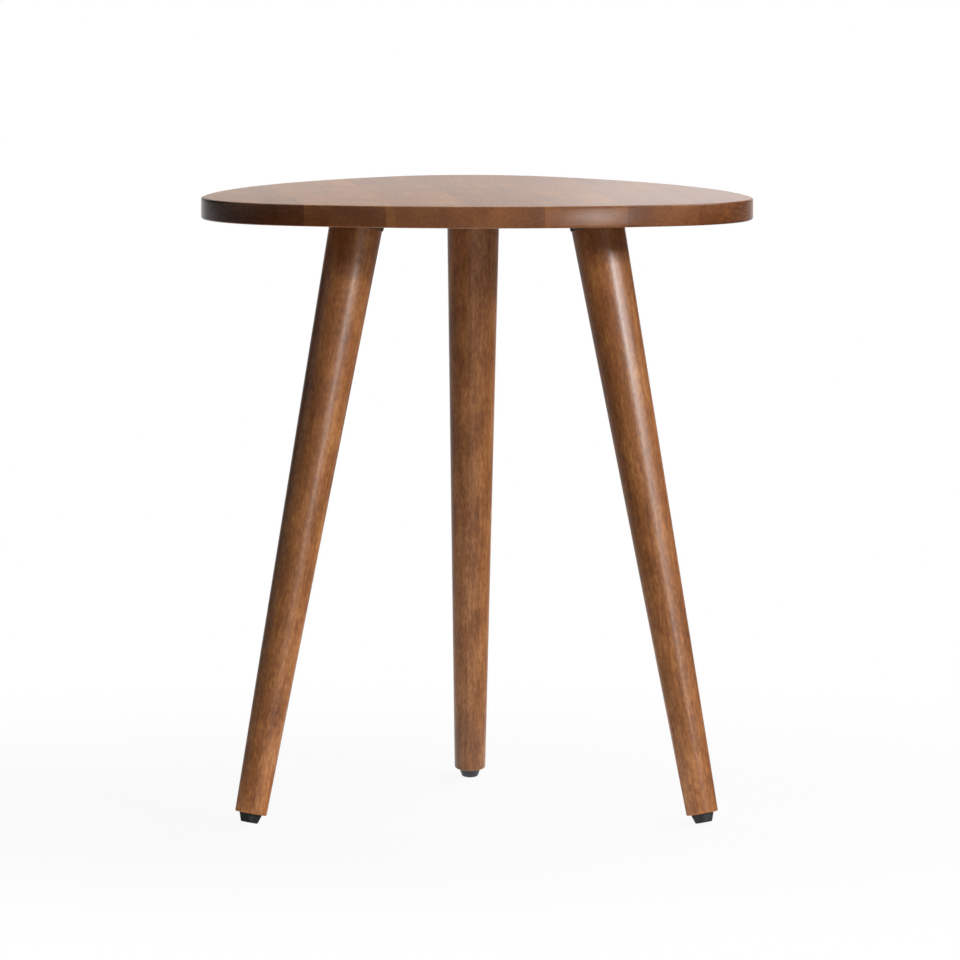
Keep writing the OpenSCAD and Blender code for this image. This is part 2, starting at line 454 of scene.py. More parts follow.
def stained_wood(name, home, pith, tone, seed, half_width=None, bars=0.0, rim_stain_and_shade=0.0, sapwood=0.0):
    """home has its +Z along the grain, pith is the heart of the tree beside the plank in mm, tone the mean
    shade, and bars how much a wavy plank's bars show. A stave has a half width, in mm, rim_stain_and_shade is what its
    rim adds to its shade, and sapwood is the width of a paler strip that shows on the rim, along the
    stave's right edge."""
    wood = Finish(bpy.data.materials.new(name))
    place = wood.node("ShaderNodeTexCoord", output="Object")
    about = wood.shifted(place, tuple(-c for c in home.translation))
    turn = home.to_3x3().inverted().to_euler("XYZ")
    plank = wood.node("ShaderNodeMapping", {}, {"Vector": about, "Rotation": turn, "Scale": (MM, MM, MM)})
    own = wood.shifted(plank, tuple(apart * seed for apart in PLANKS_APART))

    # Growth rings round the pith, wavering along the plank
    wavers = {"Vector": wood.figured(own, *WAVERS), "Scale": 1.0, "Detail": 2.0}
    waver = wood.node("ShaderNodeTexNoise", {}, wavers, output="Color")
    mean_waver = RING_WAVER / 2
    from_pith = wood.shifted(plank, (-pith[0] - mean_waver, -pith[1] - mean_waver, 0))
    wavered = wood.node(
        "ShaderNodeVectorMath",
        {"operation": "MULTIPLY_ADD"},
        {0: waver, 1: (RING_WAVER, RING_WAVER, 0), 2: from_pith},
    )
    flat = wood.scaled(wavered, (1, 1, 0))
    distance = wood.node("ShaderNodeVectorMath", {"operation": "LENGTH"}, {0: flat}, output="Value")
    season = (distance / RING_WIDTH).math("FRACT")
    late_wood = season.step(0.4, 0.92) * (1 - season.step(0.92, 1.0))
    year = wood.noise(wood.figured(own, *YEARS), detail=1.0)

    # The stain takes in clouds, in short flecks, and in streaks along the fibres. The planed staves are
    # broadly clouded, and the turned legs cut through more of the streaks.
    clouds = STAVE_CLOUDS if half_width else LEG_CLOUDS
    streak_shade = STAVE_STREAK_SHADE if half_width else LEG_STREAK_SHADE
    cloud = wood.noise(wood.figured(own, *clouds), detail=3.0, roughness=0.55)
    streak = wood.noise(wood.figured(own, *STREAKS), detail=3.0, roughness=0.6)
    fleck = wood.noise(wood.figured(own, *FLECKS), detail=2.5, roughness=0.6)
    fibre = wood.noise(wood.figured(own, *FIBRES), detail=3.0, roughness=0.65)
    pores = {"Vector": wood.figured(own, *PORES), "Scale": 1.0, "Randomness": 1.0}
    pore = 1 - wood.node("ShaderNodeTexVoronoi", {}, pores, output="Distance").step(0.08, 0.22)
    figure = streak * streak_shade + fleck * FLECK_SHADE + fibre * FIBRE_SHADE
    figure = figure + year * YEAR_SHADE - late_wood * LATE_WOOD_SHADE - pore * PORE_SHADE
    if bars:
        # Wavy fibres catch the light in soft bars across the grain
        figure = figure + wood.noise(wood.figured(own, *BARS), detail=1.5, distortion=0.8) * bars

    # The figure is fainter on cut ends
    facing = wood.node("ShaderNodeTexCoord", output="Normal")
    grain = home.to_3x3() @ Vector((0, 0, 1))
    compared = {0: facing, 1: grain}
    end_on = wood.node("ShaderNodeVectorMath", {"operation": "DOT_PRODUCT"}, compared, output="Value")
    end_grain = end_on.math("ABSOLUTE").step(0.5, 0.95)
    shade = tone + cloud * CLOUD_SHADE + figure * (1 - end_grain * END_GRAIN_LOSS)
    smoother = 0.0
    if half_width:
        # A glue line shows as a hair of dark. The rim is darker than the faces: the sawn rim takes more
        # stain,
        # and it carries painted shade, deepest on the left staves, whose rims face away from the key light
        x = wood.node("ShaderNodeSeparateXYZ", {}, {"Vector": plank}, output="X")
        up = wood.node("ShaderNodeSeparateXYZ", {}, {"Vector": facing}, output="Z").math("ABSOLUTE")
        rim = 1 - up.step(0.4, 0.9)
        smoother = rim * SMOOTHER_RIM
        glue = x.math("ABSOLUTE").step(half_width - GLUE_FROM, half_width - GLUE_TO)
        shade = shade + rim * rim_stain_and_shade - glue * GLUE_SHADE
        if sapwood:
            paler = (x + year * SAPWOOD_WAVER).step(half_width - sapwood - 1, half_width - sapwood)
            shade = shade + paler * rim * SAPWOOD_SHADE

    # The lacquer sinks into the pores and lies over the fibres
    colour = wood.node("ShaderNodeValToRGB", {"stops": STAIN}, {"Fac": shade})
    relief = fleck * 0.4 + fibre * 0.4 - pore * 0.6 + streak * 0.3
    normal = wood.node("ShaderNodeBump", {}, {"Height": relief, "Distance": WOOD_RELIEF, "Strength": 1.0})
    roughness = SATIN + fibre * 0.08 + cloud * 0.06 + pore * 0.12 - smoother
    return wood.done(Base_Color=colour, Roughness=roughness, Normal=normal, IOR=LACQUER_IOR)


# Each stave comes from its own plank: (pith across and below, tone, its rim's tone beside that, sapwood)
# The rim's tone is partly darker stain and partly painted shade, deepest on the left staves, which face away
# from the key light
PLANKS = [
    ((20, 60), 0.63, -0.44, 0),
    ((-45, 55), 0.65, -0.38, 7.5),
    ((10, 90), 0.58, -0.2, 0),
    ((35, 48), 0.52, -0.13, 0),
    ((-15, 70), 0.52, -0.1, 0),
    ((50, 80), 0.46, -0.15, 0),
    ((-30, 50), 0.42, -0.16, 0),
]
board = sawn_board()
for i in STAVES:
    left, right = SEAMS[i - 1], SEAMS[i]
    shape = board.copy()
    plane_off(shape, left, 1)
    plane_off(shape, right, -1)
    stave = piece(f"stave_{i}", shape)
    drill(stave, holes_under_top())
    heart = Matrix.Translation(towards(GRAIN_TURN, (left + right) / 2, (TABLE_TOP + UNDERSIDE) / 2))
    home = heart @ Matrix.Rotation(GRAIN_TURN, 4, "Z") @ Matrix.Rotation(-math.pi / 2, 4, "X")
    pith, tone, rim_stain_and_shade, sapwood = PLANKS[i - 1]
    stave_wood = stained_wood(
        f"stained_stave_{i}",
        home,
        pith,
        tone,
        seed=i,
        half_width=(right - left) / 2 * MM,
        rim_stain_and_shade=rim_stain_and_shade,
        sapwood=sapwood,
    )
    stave.data.materials.append(stave_wood)
    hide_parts(f"top_stave_{i}")
    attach(stave, "tabletop")
board.free()

# The leg plates: square plates of 1.5 mm sheet steel, with a round seat pressed down out of each so that
# the leg's end meets it square, holed for the nut and four screws. They are powder coated dark brown.
PLATE_W = 0.060
PLATE_CORNER_R = 0.006
PRESSED_R = 0.02175
NUT_HOLE_R = 0.00505
PRESS_ROUND = 0.0003
SEAT_STEPS = 72
PLATE_SHARP_FROM = 40
COAT_DARK = paint(66, 43, 30)
COAT_PALE = paint(92, 62, 45)
COAT_PEEL = 0.00008


def ring(shape, matrix, radius, steps):
    """Adds a circle of edges with no face."""
    made = bmesh.ops.create_circle(shape, cap_ends=False, segments=steps, radius=radius, matrix=matrix)
    return [e for e in shape.edges if all(v in made["verts"] for v in e.verts)]


def pressed_plate(direction):
    """The lower skin of the plate, thickened upwards."""
    skin = bmesh.new()
    flange = Matrix.Translation((0, 0, -PLATE_T))
    square = bmesh.ops.create_grid(skin, x_segments=1, y_segments=1, size=PLATE_W / 2, matrix=flange)["verts"]
    round_off(skin, square, PLATE_CORNER_R, 8, affect="VERTICES")
    bmesh.ops.delete(skin, geom=skin.faces[:], context="FACES_ONLY")
    border = skin.edges[:]
    # The seat's wall runs along the leg's axis until it meets the flange
    tilt = Matrix.Rotation(math.pi - SPLAY, 4, "Y")
    seat = tilt @ Matrix.Translation((0, 0, SEAT))
    seat_edge = ring(skin, seat, PRESSED_R, SEAT_STEPS)
    down = tilt @ Vector((0, 0, 1))
    copied = bmesh.ops.duplicate(skin, geom=seat_edge + list({v for e in seat_edge for v in e.verts}))
    wall_top = edges_of(copied["geom"])
    for v in {v for e in wall_top for v in e.verts}:
        v.co -= down * (v.co.z + PLATE_T) / down.z
    bmesh.ops.triangle_fill(skin, edges=border + wall_top, use_beauty=True)
    bmesh.ops.bridge_loops(skin, edges=wall_top + seat_edge)
    nut_hole = ring(skin, seat, NUT_HOLE_R, SEAT_STEPS)
    bmesh.ops.bridge_loops(skin, edges=seat_edge + nut_hole)
    round_off(skin, wall_top + seat_edge, PRESS_ROUND, 3)
    bmesh.ops.recalc_face_normals(skin, faces=skin.faces)
    if sum(f.normal.z * f.calc_area() for f in skin.faces) > 0:
        bmesh.ops.reverse_faces(skin, faces=skin.faces)
    bmesh.ops.solidify(skin, geom=skin.faces[:], thickness=-PLATE_T)
    bmesh.ops.recalc_face_normals(skin, faces=skin.faces)
    bmesh.ops.transform(skin, matrix=under_top(direction), verts=skin.verts)
    return skin


def powder_coat():
    coat = Finish(bpy.data.materials.new("brown_powder_coat"))
    place = coat.node("ShaderNodeTexCoord", output="Object")
    peel = coat.noise(coat.scaled(place, (900, 900, 900)), detail=2.0)
    dust = coat.noise(coat.scaled(place, (60, 60, 60)), detail=3.0)
    level = 0.5 + dust * 0.8 + peel * 0.3
    stops = [(0.3, COAT_DARK), (0.75, COAT_PALE)]
    shade = coat.node("ShaderNodeValToRGB", {"stops": stops}, {"Fac": level})
    normal = coat.node("ShaderNodeBump", {}, {"Height": peel, "Distance": COAT_PEEL, "Strength": 1.0})
    return coat.done(Base_Color=shade, Roughness=0.75 + dust * 0.15, Normal=normal, IOR=1.35)


coated = powder_coat()
for side, direction in DIRECTIONS.items():
    plate = piece(f"plate_{side}", pressed_plate(direction), PLATE_SHARP_FROM)
    pilots = bmesh.new()
    screw_holes(pilots, direction)
    drill(plate, pilots, PLATE_SHARP_FROM)
    plate.data.materials.append(coated)
    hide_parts(f"leg_plate_{side}")
    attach(plate, "tabletop")

# The plate screws: four countersunk wood screws to a plate, each with a thread cut to a point and a cross
# recess pressed into its head. They are steel, zinc plated.
SCREW_CORE_R = 0.00145
SCREW_THREAD = 0.0016
RECESS_ARM = 0.0021
RECESS_HALF = 0.00045
RECESS_DEPTH = 0.0014
RECESS_TAPER = 0.45
POINT_R = 0.0002
THREAD_SHARP_FROM = 30
SPARE_TURNS = 2
PLATING_BLOOM = 22
SCRATCH_DEPTH = 0.00002


def threaded(core_r, crest_r, pitch, low, high, crest_share, steps, tip=0.0):
    """A screw thread from low to high on the Z axis: one turn's profile wound up, and its ends cut square.
    crest_share is how much of the pitch is crest, and tip the length over which it narrows to a point."""
    rod = bmesh.new()
    turns = math.ceil((high - low) / pitch) + SPARE_TURNS
    flat = crest_share * pitch / 2
    heights = (0, pitch / 2 - flat, pitch / 2 + flat, pitch)
    radii = (core_r, crest_r, crest_r, core_r)
    points = [rod.verts.new((r, 0, low - pitch + h)) for r, h in zip(radii, heights)]
    lines = [rod.edges.new(pair) for pair in zip(points, points[1:])]
    bmesh.ops.spin(
        rod,
        geom=points + lines,
        cent=(0, 0, 0),
        axis=(0, 0, 1),
        dvec=(0, 0, pitch / steps),
        angle=2 * math.pi * turns,
        steps=steps * turns,
        use_merge=False,
    )
    bmesh.ops.remove_doubles(rod, verts=rod.verts, dist=SAME_PLACE)
    cut_off(rod, (0, 0, low), (0, 0, 1))
    cut_off(rod, (0, 0, high), (0, 0, -1))
    bmesh.ops.recalc_face_normals(rod, faces=rod.faces)
    for v in rod.verts:
        limit = max(crest_r * (high - v.co.z) / tip, POINT_R) if tip else crest_r
        if v.co.xy.length > limit:
            v.co.xy *= limit / v.co.xy.length
    return rod


def screw_head():
    """A cone with a flat face, and a cross pressed into the face."""
    head = bmesh.new()
    rim = ring(head, Matrix.Identity(4), SCREW_HEAD_R, 40)
    corners = []
    for quarter in range(4):
        turn = Matrix.Rotation(quarter * math.pi / 2, 3, "Z")
        for x, y in ((RECESS_HALF, RECESS_HALF), (RECESS_HALF, RECESS_ARM), (-RECESS_HALF, RECESS_ARM)):
            corners.append(head.verts.new(turn @ Vector((x, y, 0))))
    cross = [head.edges.new((corners[k - 1], corners[k])) for k in range(len(corners))]
    bmesh.ops.triangle_fill(head, edges=rim + cross, use_beauty=True)
    opening = bmesh.ops.contextual_create(head, geom=cross)["faces"]
    recess = verts_of(bmesh.ops.extrude_face_region(head, geom=opening)["geom"])
    bmesh.ops.scale(head, verts=recess, vec=(RECESS_TAPER, RECESS_TAPER, 1))
    bmesh.ops.translate(head, verts=recess, vec=(0, 0, RECESS_DEPTH))
    cone = bmesh.ops.extrude_edge_only(head, edges=rim)["geom"]
    neck = verts_of(cone)
    narrow = SCREW_CORE_R / SCREW_HEAD_R
    bmesh.ops.scale(head, verts=neck, vec=(narrow, narrow, 1))
    bmesh.ops.translate(head, verts=neck, vec=(0, 0, SCREW_HEAD_H))
    bmesh.ops.contextual_create(head, geom=edges_of(cone))
    bmesh.ops.recalc_face_normals(head, faces=head.faces)
    return head


def plated(name, tint, dull):
    """Zinc on steel: a thin cloudy plating over drawn or turned metal."""
    zinc = Finish(bpy.data.materials.new(name))
    place = zinc.node("ShaderNodeTexCoord", output="Object")
    bloom = zinc.noise(zinc.scaled(place, (180, 180, 180)), detail=3.0, roughness=0.6)
    scratch = zinc.noise(zinc.scaled(place, (2600, 2600, 400)), detail=2.0)
    bright = tuple(min(255, c + PLATING_BLOOM) for c in tint)
    stops = [(0.25, paint(*tint)), (0.8, paint(*bright))]
    shade = zinc.node("ShaderNodeValToRGB", {"stops": stops}, {"Fac": 0.5 + bloom * 0.9})
    normal = zinc.node("ShaderNodeBump", {}, {"Height": scratch, "Distance": SCRATCH_DEPTH, "Strength": 1.0})
    return zinc.done(Base_Color=shade, Metallic=1.0, Roughness=dull + bloom * 0.25, Normal=normal)


def screw_shank():
    return threaded(
        SCREW_CORE_R,
        SCREW_R,
        SCREW_THREAD,
        SCREW_HEAD_H,
        SCREW_LENGTH,
        crest_share=0.12,
        steps=20,
        tip=SCREW_TIP,
    )


screw_zinc = plated("screw_zinc", tint=(196, 194, 186), dull=0.34)
for side, direction in DIRECTIONS.items():
    four = bmesh.new()
    for place in screw_places(direction):
        join(four, screw_head(), place)
        join(four, screw_shank(), place)
    screws = piece(f"screws_{side}", four, THREAD_SHARP_FROM)
    screws.data.materials.append(screw_zinc)
    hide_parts(f"plate_screws_{side}")
    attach(screws, "tabletop")

# The clinch nuts: turned steel, zinc plated, and pressed into each plate from above. The barrel stands in
# the top's relief, the flange lies on the plate's seat, and the spigot fills the hole in it.
BOLT_R = 0.004
BARREL_R = 0.0055
BARREL_TOP = -0.00335
NUT_FLANGE_R = 0.009
NUT_FLANGE_TOP = 0.00365
NUT_SEAT = 0.00515
SPIGOT_R = 0.005
BARREL_ROUND = 0.0004
NUT_FLANGE_ROUND = 0.0003
BORE_ROUND = 0.0004


def on_leg(shape, direction):
    """Moves a shape from the Z axis to a leg's axis."""
    bmesh.ops.transform(shape, matrix=on_axis(direction), verts=shape.verts)
    return shape


def clinch_nut():
    bore = BOLT_R + CLEARANCE
    shape = turned(
        [
            (bore, BARREL_TOP),
            (BARREL_R, BARREL_TOP),
            (BARREL_R, NUT_FLANGE_TOP),
            (NUT_FLANGE_R, NUT_FLANGE_TOP),
            (NUT_FLANGE_R, NUT_SEAT),
            (SPIGOT_R, NUT_SEAT),
            (SPIGOT_R, SEAT - CLEARANCE),
            (bore, SEAT - CLEARANCE),
        ],
        steps=64,
        closed=True,
    )
    rounded(shape, BARREL_R, BARREL_TOP, BARREL_ROUND)
    rounded(shape, NUT_FLANGE_R, NUT_FLANGE_TOP, NUT_FLANGE_ROUND)
    return rounded(shape, bore, SEAT - CLEARANCE, BORE_ROUND, 2)


nut_zinc = plated("nut_zinc", tint=(188, 188, 186), dull=0.3)
for side, direction in DIRECTIONS.items():
    nut = piece(f"nut_{side}", on_leg(clinch_nut(), direction))
    nut.data.materials.append(nut_zinc)
    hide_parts(f"plate_nut_{side}")
    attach(nut, "tabletop")

# The hanger bolts: steel, zinc plated, each with a machine thread above for the nut, and a coarse wood
# thread with a point below, driven into the leg.
BOLT_ABOVE_SEAT = 0.0145
BOLT_LENGTH = 0.050
MACHINE_LENGTH = 0.022
BOLT_TOP = SEAT - BOLT_ABOVE_SEAT
BOLT_END = BOLT_TOP + BOLT_LENGTH
BOLT_MIDDLE = BOLT_TOP + MACHINE_LENGTH
BOLT_CORE_R = 0.00335
BOLT_THREAD = 0.00125
WOOD_CORE_R = 0.0029
WOOD_THREAD = 0.0031
BOLT_TIP = 0.006


def hanger_bolt():
    bolt = threaded(BOLT_CORE_R, BOLT_R, BOLT_THREAD, BOLT_TOP, BOLT_MIDDLE, crest_share=0.18, steps=36)
    wood_part = threaded(
        WOOD_CORE_R,
        BOLT_R,
        WOOD_THREAD,
        BOLT_MIDDLE,
        BOLT_END,
        crest_share=0.08,
        steps=36,
        tip=BOLT_TIP,
    )
    join(bolt, wood_part, Matrix.Identity(4))
    return bolt


bolt_zinc = plated("bolt_zinc", tint=(198, 198, 198), dull=0.28)
for side, direction in DIRECTIONS.items():
    bolt = piece(f"bolt_{side}", on_leg(hanger_bolt(), direction), THREAD_SHARP_FROM)
    bolt.data.materials.append(bolt_zinc)
    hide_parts(f"hanger_bolt_{side}")
    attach(bolt, f"{side}_bolt")

# The legs: turned from one piece of solid wood each, tapered evenly from top to foot, bored for the bolt
# above and the foot's insert below. Stained and lacquered like the top, with the grain along the leg.
LEG_GAP = 0.00002
LEG_TOP = SEAT + LEG_GAP
LEG_TOP_R = 0.02225
LEG_END_R = 0.01325
LEG_END = 0.503726
FOOT_GAP = 0.0001
FOOT_TOP = LEG_END + FOOT_GAP
LEG_TOP_ROUND = 0.0008
LEG_END_ROUND = 0.0012
BORE_SPARE = 0.002
INSERT_R = 0.005
INSERT_LENGTH = 0.013
INSERT_FLANGE_R = 0.007
INSERT_FLANGE_T = 0.0008
STEM_R = 0.003
STEM_REACH = 0.018
STEM_TOP = FOOT_TOP - STEM_REACH
# Each leg's plank: (pith across and below, tone, bars of its wavy fibres)
LEG_PLANKS = {
    "back": ((30, 55), 0.55, 0.0),
    "left": ((-48, 30), 0.52, 0.16),
    "right": ((52, -38), 0.51, 0.0),
}
FIRST_LEG_SEED = 11


def turned_leg():
    bolt_bore = BOLT_R + CLEARANCE
    insert_bore = INSERT_R + CLEARANCE
    flange_bore = INSERT_FLANGE_R + CLEARANCE
    stem_bore = STEM_R + CLEARANCE
    shape = turned(
        [
            (0, BOLT_END + BORE_SPARE),
            (bolt_bore, BOLT_END + BORE_SPARE),
            (bolt_bore, LEG_TOP),
            (LEG_TOP_R, LEG_TOP),
            (LEG_END_R, LEG_END),
            (flange_bore, LEG_END),
            (flange_bore, LEG_END - INSERT_FLANGE_T),
            (insert_bore, LEG_END - INSERT_FLANGE_T),
            (insert_bore, LEG_END - INSERT_LENGTH - CLEARANCE),
            (stem_bore, LEG_END - INSERT_LENGTH - CLEARANCE),
            (stem_bore, STEM_TOP - BORE_SPARE),
            (0, STEM_TOP - BORE_SPARE),
        ],
        steps=160,
    )
    rounded(shape, LEG_TOP_R, LEG_TOP, LEG_TOP_ROUND, 5)
    return rounded(shape, LEG_END_R, LEG_END, LEG_END_ROUND, 5)


for seed, (side, direction) in enumerate(DIRECTIONS.items(), FIRST_LEG_SEED):
    leg = piece(f"turned_leg_{side}", on_leg(turned_leg(), direction))
    pith, tone, bars = LEG_PLANKS[side]
    leg_wood = stained_wood(f"stained_leg_{side}", on_axis(direction), pith, tone, seed, bars=bars)
    leg.data.materials.append(leg_wood)
    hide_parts(f"leg_{side}")
    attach(leg, f"{side}_leg")

# The threaded inserts: cast zinc, driven into the end of each leg, with a thin flange let in flush with
# the wood.
INSERT_ROUND = 0.0002


def threaded_insert():
    bore = STEM_R + CLEARANCE
    shape = turned(
        [
            (bore, LEG_END - INSERT_LENGTH),
            (INSERT_R, LEG_END - INSERT_LENGTH),
            (INSERT_R, LEG_END - INSERT_FLANGE_T),
            (INSERT_FLANGE_R, LEG_END - INSERT_FLANGE_T),
            (INSERT_FLANGE_R, LEG_END),
            (bore, LEG_END),
        ],
        steps=64,
        closed=True,
    )
    return rounded(shape, INSERT_FLANGE_R, LEG_END, INSERT_ROUND, 2)


insert_zinc = plated("insert_zinc", tint=(176, 172, 158), dull=0.42)
for side, direction in DIRECTIONS.items():
    insert = piece(f"insert_{side}", on_leg(threaded_insert(), direction))
    insert.data.materials.append(insert_zinc)
    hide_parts(f"foot_insert_{side}")
    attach(insert, f"{side}_leg")

# The stems of the feet: steel, zinc plated like the bolts, each with a machine thread that screws into its
# leg's insert, and a flat head that the foot is moulded round.
STEM_CORE_R = 0.0025
STEM_THREAD = 0.001
STEM_HEAD_R = 0.005
STEM_COVER = 0.0025
STEM_HEAD_T = 0.0025
STEM_HEAD_TOP = FOOT_TOP + STEM_COVER
STEM_HEAD_END = STEM_HEAD_TOP + STEM_HEAD_T
STEM_HEAD_ROUND = 0.0003


def foot_stem():
    stem = threaded(STEM_CORE_R, STEM_R, STEM_THREAD, STEM_TOP, STEM_HEAD_TOP, crest_share=0.18, steps=32)
    head = turned(
        [
            (0, STEM_HEAD_TOP),
            (STEM_HEAD_R, STEM_HEAD_TOP),
            (STEM_HEAD_R, STEM_HEAD_END),
            (0, STEM_HEAD_END),
        ],
        steps=48,
    )
    join(stem, rounded(head, STEM_HEAD_R, STEM_HEAD_END, STEM_HEAD_ROUND, 2), Matrix.Identity(4))
    return stem


for side, direction in DIRECTIONS.items():
    stem = piece(f"stem_{side}", on_leg(foot_stem(), direction), THREAD_SHARP_FROM)
    stem.data.materials.append(bolt_zinc)
    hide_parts(f"foot_stem_{side}")
    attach(stem, f"{side}_stem")

# The feet: black nylon, moulded round the stem's head, and narrower towards the floor. They lie a hair off
# the wood when they are screwed home.
FOOT_TOP_R = 0.0095
FOOT_BASE_R = 0.007
FOOT_H = 0.0075
FOOT_BASE = FOOT_TOP + FOOT_H
FOOT_TOP_ROUND = 0.0004
FOOT_BASE_ROUND = 0.0006
NYLON_DARK = paint(22, 22, 23)
NYLON_SCUFFED = paint(46, 46, 47)
NYLON_SPARK = 0.00005


def moulded_foot():
    shape = turned(
        [
            (0, STEM_HEAD_END + CLEARANCE),
            (STEM_HEAD_R + CLEARANCE, STEM_HEAD_END + CLEARANCE),
            (STEM_HEAD_R + CLEARANCE, STEM_HEAD_TOP - CLEARANCE),
            (STEM_R + CLEARANCE, STEM_HEAD_TOP - CLEARANCE),
            (STEM_R + CLEARANCE, FOOT_TOP),
            (FOOT_TOP_R, FOOT_TOP),
            (FOOT_BASE_R, FOOT_BASE),
            (0, FOOT_BASE),
        ],
        steps=96,
    )
    rounded(shape, FOOT_TOP_R, FOOT_TOP, FOOT_TOP_ROUND)
    return rounded(shape, FOOT_BASE_R, FOOT_BASE, FOOT_BASE_ROUND)


def nylon():
    black = Finish(bpy.data.materials.new("black_nylon"))
    place = black.node("ShaderNodeTexCoord", output="Object")
    spark = black.noise(black.scaled(place, (1500, 1500, 1500)), detail=2.0)
    scuff = black.noise(black.scaled(place, (240, 240, 90)), detail=3.0, roughness=0.6)
    stops = [(0.3, NYLON_DARK), (0.8, NYLON_SCUFFED)]
    shade = black.node("ShaderNodeValToRGB", {"stops": stops}, {"Fac": 0.5 + scuff * 0.9})
    normal = black.node("ShaderNodeBump", {}, {"Height": spark, "Distance": NYLON_SPARK, "Strength": 1.0})
    return black.done(Base_Color=shade, Roughness=0.5 + scuff * 0.3, Normal=normal, IOR=1.5)


black_nylon = nylon()
for side, direction in DIRECTIONS.items():
    foot = piece(f"foot_{side}", on_leg(moulded_foot(), direction))
    foot.data.materials.append(black_nylon)
    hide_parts(f"foot_pad_{side}")
    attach(foot, f"{side}_foot")

# The studio: a pale floor that fades into a white surround. The key light stands to the right of the
# camera with a wide one beside it and a low one below it. One hangs at the back right, a broad soft one
# high on the right, and a dim one behind shines on the upper face.
# Each lamp: (place, width, height, radiance)
LAMPS = {
    "key": (Vector((1.337, -1.982, 1.151)), 0.28, 0.28, 124.0),
    "wide": (Vector((1.924, -1.419, 1.151)), 1.0, 0.26, 27.0),
    "low_front": (Vector((1.174, -2.207, 0.376)), 0.26, 0.26, 26.5),
    "back_right": (Vector((0.791, 1.130, 1.677)), 0.7, 0.7, 13.5),
    "overhead_right": (Vector((1.3, 0.0, 2.0)), 1.2, 1.2, 4.0),
    "behind": (Vector((0.4, 1.45, 1.1)), 0.6, 0.9, 0.7),
}
LAMPS_FACE = Vector((0, MIDDLE_Y, 0.3))
# How bright the surround and the floor are in a reflection, and how bright the floor is to the wood above
# it, near and far. By direction, from straight behind over the left, the front and the right.
SURROUND_SEEN = (0.96, 0.01, 0.44, 0.23, 0.63, 1.0, 0.6, 0.04, 0.96)
FLOOR_SEEN = (1.27, 0.42, 0.16, 0.0, 0.51, 0.35, 0.06, 0.25, 1.27)
BOUNCE_NEAR = (0.0, 0.7, 1.39, 1.48, 1.56, 1.52, 1.47, 0.74, 0.0)
BOUNCE_FAR = (0.39, 0.49, 0.59, 0.3, 0.0, 0.0, 0.0, 0.2, 0.39)
BRIGHTEST = 2.0
FLOOR_R = 60
FLOOR_GREY = (0.6, 0.6, 0.6, 1)
# The floor's own shade, with its shadows, is a small share of what the camera sees near the table
SHADOW_SHARE = 0.08
SHADOW_FADES = (0.25, 1.0)
NEAR_FADES = (0.25, 0.4)
FAR_FADES = (0.6, 0.8)


def by_direction(finish, x, y, levels):
    """The level in the direction of x and y, eased from one of the levels to the next."""
    share = x.math("ARCTAN2", y * -1) / (2 * math.pi) + 0.5
    last = len(levels) - 1
    stops = [(i / last, (level / BRIGHTEST,) * 3 + (1.0,)) for i, level in enumerate(levels)]
    ramp = finish.node("ShaderNodeValToRGB", {"eased": True, "stops": stops}, {"Fac": share})
    return ramp * BRIGHTEST


def studio_floor():
    ground = Finish(bpy.data.materials.new("pale_floor"))
    place = ground.node("ShaderNodeTexCoord", output="Object")
    away = ground.node("ShaderNodeVectorMath", {"operation": "LENGTH"}, {0: place}, output="Value")
    x = ground.node("ShaderNodeSeparateXYZ", {}, {"Vector": place}, output="X")
    y = ground.node("ShaderNodeSeparateXYZ", {}, {"Vector": place}, output="Y")
    camera_ray = ground.node("ShaderNodeLightPath", output="Is Camera Ray")
    glossy_ray = ground.node("ShaderNodeLightPath", output="Is Glossy Ray")
    other_ray = 1 - camera_ray - glossy_ray
    white = away.step(*SHADOW_FADES) * SHADOW_SHARE + (1 - SHADOW_SHARE)
    near = 1 - away.step(*NEAR_FADES)
    far = away.step(*NEAR_FADES) * (1 - away.step(*FAR_FADES))
    bounce = near * by_direction(ground, x, y, BOUNCE_NEAR) + far * by_direction(ground, x, y, BOUNCE_FAR)
    level = glossy_ray * by_direction(ground, x, y, FLOOR_SEEN) + other_ray * bounce
    matte = ground.node("ShaderNodeBsdfDiffuse", {}, {"Color": FLOOR_GREY})
    unlit = ground.node("ShaderNodeEmission", {}, {"Color": (0, 0, 0, 1)})
    clear = ground.node("ShaderNodeBsdfTransparent")
    # What shows through is the white surround, or a foot that is screwed out below the floor
    through = ground.node("ShaderNodeMixShader", {}, {0: camera_ray, 1: unlit, 2: clear})
    kept = ground.node("ShaderNodeMixShader", {}, {0: camera_ray * white + glossy_ray, 1: matte, 2: through})
    glow = ground.node("ShaderNodeEmission", {}, {"Color": (1, 1, 1, 1), "Strength": level})
    lit = ground.node("ShaderNodeAddShader", {}, {0: kept, 1: glow})
    from_below = ground.node("ShaderNodeNewGeometry", output="Backfacing") * camera_ray
    both = ground.node("ShaderNodeMixShader", {}, {0: from_below, 1: lit, 2: clear})
    ground.node("ShaderNodeOutputMaterial", {}, {"Surface": both}, output=None)
    return ground.owner


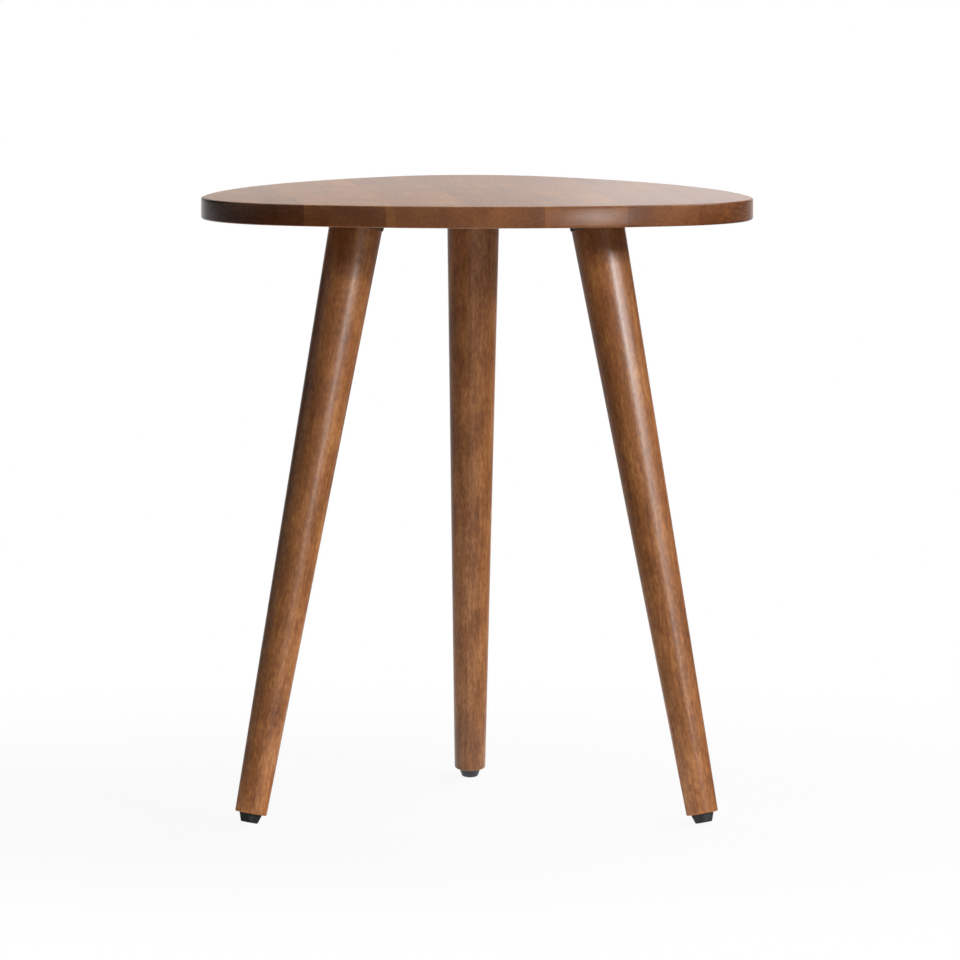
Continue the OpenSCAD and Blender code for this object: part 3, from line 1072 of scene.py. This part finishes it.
def white_surround():
    surround = Finish(bpy.data.worlds.new("surround"))
    way = surround.node("ShaderNodeTexCoord", output="Generated")
    x = surround.node("ShaderNodeSeparateXYZ", {}, {"Vector": way}, output="X")
    y = surround.node("ShaderNodeSeparateXYZ", {}, {"Vector": way}, output="Y")
    camera_ray = surround.node("ShaderNodeLightPath", output="Is Camera Ray")
    glossy_ray = surround.node("ShaderNodeLightPath", output="Is Glossy Ray")
    level = camera_ray + glossy_ray * by_direction(surround, x, y, SURROUND_SEEN)
    glow = surround.node("ShaderNodeBackground", {}, {"Color": (1, 1, 1, 1), "Strength": level})
    surround.node("ShaderNodeOutputWorld", {}, {"Surface": glow}, output=None)
    return surround.owner


def hang_lamp(name, place, width, height, radiance):
    light = bpy.data.lights.new(name, "AREA")
    light.shape = "RECTANGLE"
    light.size = width
    light.size_y = height
    light.energy = radiance * math.pi * width * height
    lamp = bpy.data.objects.new(name, light)
    lamp.location = place
    lamp.rotation_euler = (LAMPS_FACE - place).to_track_quat("-Z", "Y").to_euler()
    lamp.visible_camera = False
    bpy.context.scene.collection.objects.link(lamp)
    return lamp


sheet = bmesh.new()
bmesh.ops.create_circle(sheet, cap_ends=True, segments=128, radius=FLOOR_R)
floor = piece("floor", sheet)
floor.data.materials.append(studio_floor())
bpy.context.scene.world = white_surround()

# The top is so flat that a strong lamp would glare in the whole of it when it is seen from the lamp's far
# side, so the strong lamps light the top but are mirrored only in what is under it
KEPT_OFF_TOP = ("key", "wide", "back_right")
below = bpy.data.collections.new("under_the_top")
for made in bpy.context.scene.objects:
    if made.type == "MESH" and "stave" not in made.name:
        below.objects.link(made)
for name, sizes in LAMPS.items():
    lamp = hang_lamp(name, *sizes)
    if name in KEPT_OFF_TOP:
        lamp.visible_glossy = False
        shine = hang_lamp(f"{name}_shine", *sizes)
        shine.visible_diffuse = False
        shine.light_linking.receiver_collection = below

# The camera, far off and a little above the top, as in the photograph. Its place and its turns put the
# top's outline, the legs and the feet where the photograph has them.
CAMERA_PLACE = (-0.1437, -8.0760, 1.0027)
CAMERA_DIP = 0.0898
CAMERA_ROLL = -0.0023
CAMERA_TURN = -0.01815
LENS_LENGTH = 360.7
SENSOR_WIDTH = 36
SIGHT = 200
lens = bpy.data.cameras.new("camera")
lens.sensor_width = SENSOR_WIDTH
lens.lens = LENS_LENGTH
lens.clip_end = SIGHT
camera = bpy.data.objects.new("camera", lens)
camera.location = CAMERA_PLACE
camera.rotation_euler = (math.pi / 2 - CAMERA_DIP, CAMERA_ROLL, CAMERA_TURN)
bpy.context.scene.collection.objects.link(camera)
bpy.context.scene.camera = camera
bpy.context.scene.view_settings.view_transform = "Standard"
